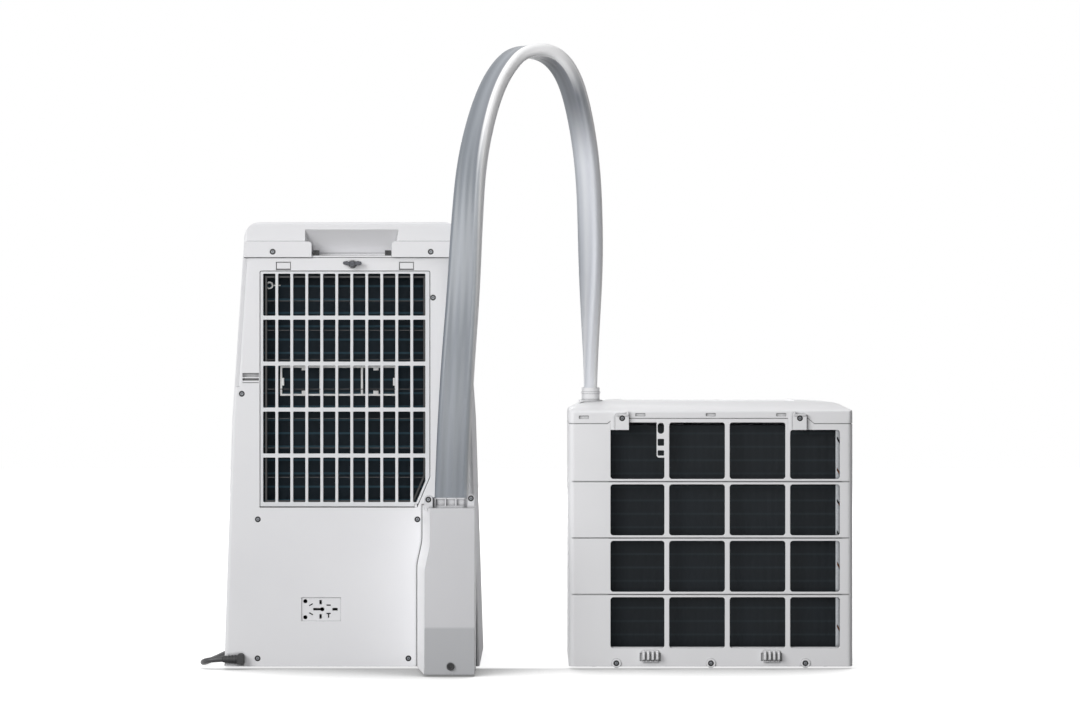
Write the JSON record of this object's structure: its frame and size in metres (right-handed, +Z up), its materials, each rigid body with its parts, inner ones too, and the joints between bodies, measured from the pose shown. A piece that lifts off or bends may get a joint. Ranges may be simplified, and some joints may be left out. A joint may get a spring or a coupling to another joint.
{
  "type": "split portable air conditioner",
  "caption": "Floor-standing indoor cooling unit on castors joined to a boxy outdoor unit by a tall arched flat hose, seen from behind.",
  "frame": {"origin": "on the floor, in the middle of the two units' overall footprint", "axes": "+Z up, +Y towards the front of both units (their rears face -Y), +X from the indoor unit to the outdoor unit"},
  "size_m": [1.0217, 0.5793, 0.9773],
  "materials": {
    "casing_white": "fine satin moulded ABS",
    "outdoor_white": "satin moulded plastic",
    "black_plastic": "satin",
    "grey_plastic": "satin",
    "display": "gloss",
    "coil_fins": "dark coated fins",
    "copper": "bright drawn copper tube",
    "motor_steel": "satin paint",
    "plated_steel": "zinc plated",
    "screw_steel": "black oxide",
    "rubber": "matte",
    "hose_cloth": "satin flexible sleeve",
    "lead_jacket": "satin",
    "castor_plastic": "satin"
  },
  "bodies": {
    "housing": {"base_pan": "grey_plastic", "blower_housing": "grey_plastic", "blower_motor": "motor_steel", "coil_sensor": "outdoor_white", "compressor": "motor_steel", "compressor_mounts": "rubber", "condensate_deck": "grey_plastic", "condenser_end_plate": "plated_steel", "condenser_fins": "coil_fins", "condenser_tubes": "copper", "control_panel": "casing_white", "cord_tie": "black_plastic", "display_window": "display", "electronics_box": "black_plastic", "evaporator_fins": "coil_fins", "evaporator_support": "outdoor_white", "evaporator_tubes": "copper", "fan_guard": "black_plastic", "fan_motor": "motor_steel", "front_shell": "casing_white", "hanging_brackets": "outdoor_white", "hose": "hose_cloth", "hose_collar": "casing_white", "hose_cover": "casing_white", "hose_socket": "outdoor_white", "indoor_screws": "screw_steel", "mains_gland": "black_plastic", "mains_lead": "lead_jacket", "mains_lead_coil": "lead_jacket", "mains_plug": "black_plastic", "outdoor_base": "outdoor_white", "outdoor_feet": "rubber", "outdoor_front_cover": "outdoor_white", "outdoor_rear_cover": "outdoor_white", "outdoor_screws": "screw_steel", "outdoor_top_cover": "outdoor_white", "outlet_frame": "grey_plastic", "pocket_cleats": "black_plastic", "rear_panel": "casing_white", "top_cover": "casing_white", "wall_spacers": "outdoor_white"},
    "blower_wheel": {"blower_wheel": "grey_plastic"},
    "outdoor_fan": {"outdoor_fan": "black_plastic"},
    "outlet_flap": {"outlet_flap": "casing_white"},
    "intake_grille": {"intake_grille": "casing_white", "intake_filter": "black_plastic"},
    "wing_screw": {"wing_screw": "plated_steel"},
    "drain_plug": {"drain_plug": "black_plastic"},
    "button_power": {"button_power": "grey_plastic"},
    "button_mode": {"button_mode": "grey_plastic"},
    "button_lower": {"button_lower": "grey_plastic"},
    "button_raise": {"button_raise": "grey_plastic"},
    "castor_fork_rear_left": {"castor_fork_rear_left": "castor_plastic"},
    "castor_wheel_rear_left": {"castor_wheel_rear_left": "castor_plastic"},
    "castor_fork_rear_right": {"castor_fork_rear_right": "castor_plastic"},
    "castor_wheel_rear_right": {"castor_wheel_rear_right": "castor_plastic"},
    "castor_fork_front_left": {"castor_fork_front_left": "castor_plastic"},
    "castor_wheel_front_left": {"castor_wheel_front_left": "castor_plastic"},
    "castor_fork_front_right": {"castor_fork_front_right": "castor_plastic"},
    "castor_wheel_front_right": {"castor_wheel_front_right": "castor_plastic"}
  },
  "joints": [
    {"name": "blower_spin", "type": "hinge", "parent": "housing", "child": "blower_wheel", "pos_m": [-0.2912, -0.0265, 0.4], "axis": [0, 1, 0], "continuous": true},
    {"name": "fan_spin", "type": "hinge", "parent": "housing", "child": "outdoor_fan", "pos_m": [0.269, 0.0705, 0.202], "axis": [0, 1, 0], "continuous": true},
    {"name": "flap_swing", "type": "hinge", "parent": "housing", "child": "outlet_flap", "pos_m": [-0.2912, 0.18266, 0.5072], "axis": [-1, 0, 0], "range_deg": [0, 75]},
    {"name": "grille_tilt", "type": "hinge", "parent": "housing", "child": "intake_grille", "pos_m": [-0.2912, -0.0965, 0.2548], "axis": [1, 0, 0], "range_deg": [0, 30]},
    {"name": "wing_screw_turn", "type": "hinge", "parent": "housing", "child": "wing_screw", "pos_m": [-0.2899, -0.0985, 0.6315], "axis": [0, 1, 0], "range_deg": [0, 180]},
    {"name": "drain_plug_pull", "type": "slide", "parent": "housing", "child": "drain_plug", "axis": [0, -1, 0], "range_m": [0, 0.03]},
    {"name": "button_power_press", "type": "slide", "parent": "housing", "child": "button_power", "axis": [0, -0.4378, -0.8991], "range_m": [0, 0.001], "stiffness_N_per_m": 400},
    {"name": "button_mode_press", "type": "slide", "parent": "housing", "child": "button_mode", "axis": [0, -0.4378, -0.8991], "range_m": [0, 0.001], "stiffness_N_per_m": 400},
    {"name": "button_lower_press", "type": "slide", "parent": "housing", "child": "button_lower", "axis": [0, -0.4378, -0.8991], "range_m": [0, 0.001], "stiffness_N_per_m": 400},
    {"name": "button_raise_press", "type": "slide", "parent": "housing", "child": "button_raise", "axis": [0, -0.4378, -0.8991], "range_m": [0, 0.001], "stiffness_N_per_m": 400},
    {"name": "castor_swivel_rear_left", "type": "hinge", "parent": "housing", "child": "castor_fork_rear_left", "pos_m": [-0.4312, -0.0405, 0.0415], "axis": [0, 0, 1], "continuous": true},
    {"name": "castor_roll_rear_left", "type": "hinge", "parent": "castor_fork_rear_left", "child": "castor_wheel_rear_left", "pos_m": [-0.4312, -0.0325, 0.015], "axis": [1, 0, 0], "continuous": true},
    {"name": "castor_swivel_rear_right", "type": "hinge", "parent": "housing", "child": "castor_fork_rear_right", "pos_m": [-0.1512, -0.0405, 0.0415], "axis": [0, 0, 1], "continuous": true},
    {"name": "castor_roll_rear_right", "type": "hinge", "parent": "castor_fork_rear_right", "child": "castor_wheel_rear_right", "pos_m": [-0.1512, -0.0325, 0.015], "axis": [1, 0, 0], "continuous": true},
    {"name": "castor_swivel_front_left", "type": "hinge", "parent": "housing", "child": "castor_fork_front_left", "pos_m": [-0.4312, 0.1415, 0.0415], "axis": [0, 0, 1], "continuous": true},
    {"name": "castor_roll_front_left", "type": "hinge", "parent": "castor_fork_front_left", "child": "castor_wheel_front_left", "pos_m": [-0.4312, 0.1495, 0.015], "axis": [1, 0, 0], "continuous": true},
    {"name": "castor_swivel_front_right", "type": "hinge", "parent": "housing", "child": "castor_fork_front_right", "pos_m": [-0.1512, 0.1415, 0.0415], "axis": [0, 0, 1], "continuous": true},
    {"name": "castor_roll_front_right", "type": "hinge", "parent": "castor_fork_front_right", "child": "castor_wheel_front_right", "pos_m": [-0.1512, 0.1495, 0.015], "axis": [1, 0, 0], "continuous": true}
  ]
}
